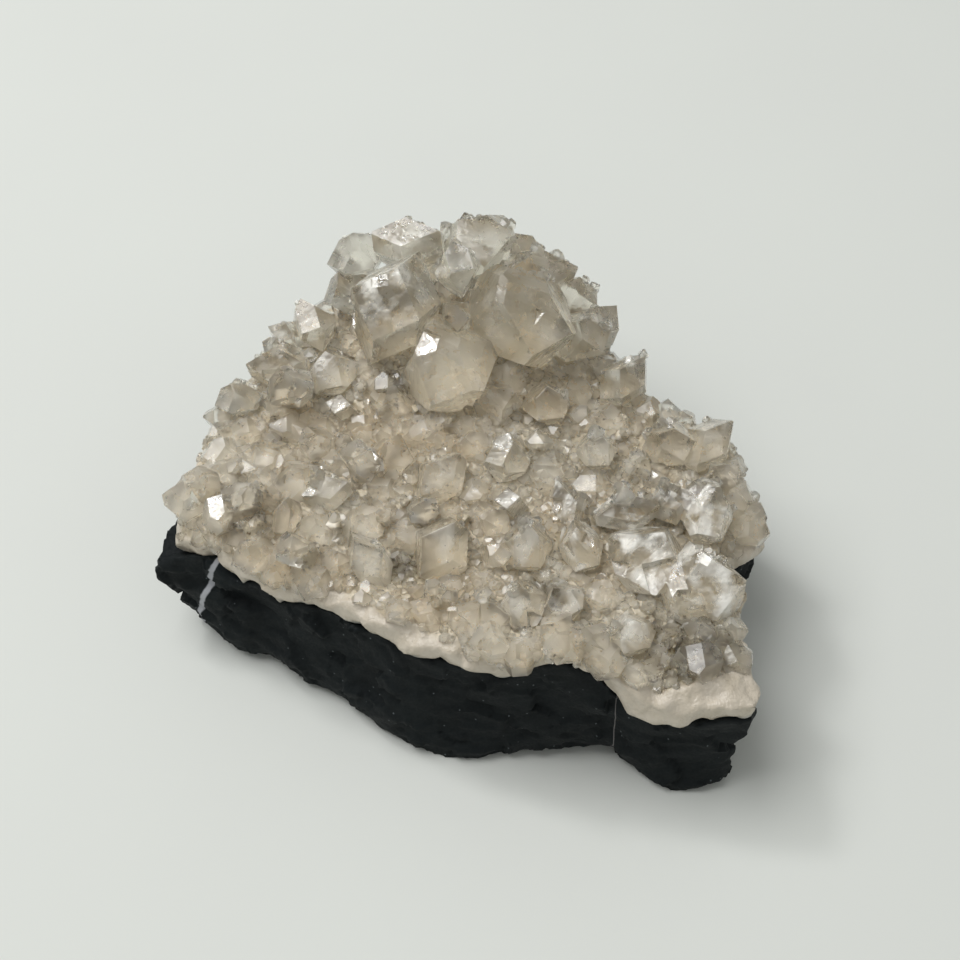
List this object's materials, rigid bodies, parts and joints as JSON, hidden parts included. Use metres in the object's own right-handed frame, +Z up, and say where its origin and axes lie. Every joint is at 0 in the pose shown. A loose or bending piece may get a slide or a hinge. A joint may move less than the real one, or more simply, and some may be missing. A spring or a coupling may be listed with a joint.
{
  "type": "calcite specimen",
  "caption": "Hand-sized mineral specimen: clear, blocky calcite crystals on a pale sparkling crust over a broken piece of black basalt.",
  "frame": {"origin": "on the resting plane, under the middle of the specimen's bounding box", "axes": "+X to the specimen's right-hand end, -Y to its front (the long broken side with the crust's white edge), +Z up"},
  "size_m": [0.1002, 0.0936, 0.0502],
  "materials": {
    "basalt": "rough, freshly broken",
    "crust": "sugary, fine sparkling crystals over a milky white layer",
    "calcite": "glassy, clear to slightly cloudy"
  },
  "bodies": {
    "root": {"basalt_matrix": "basalt", "druse_crust": "crust", "dome_crystals": "calcite", "clear_side_block": "calcite", "cloudy_stub": "calcite", "ridge_crystals": "calcite", "left_rim_rhomb": "calcite", "square_rhomb": "calcite", "house_crystal": "calcite", "centre_pair": "calcite", "striated_pair": "calcite", "right_cluster": "calcite", "front_white_crystal": "calcite", "front_pair": "calcite", "hatched_rhomb": "calcite", "striped_rhomb": "calcite", "back_right_rhomb": "calcite", "right_rim_crystals": "calcite", "left_front_blade": "calcite", "left_stub": "calcite", "left_centre_block": "calcite", "middle_block": "calcite"}
  },
  "joints": []
}
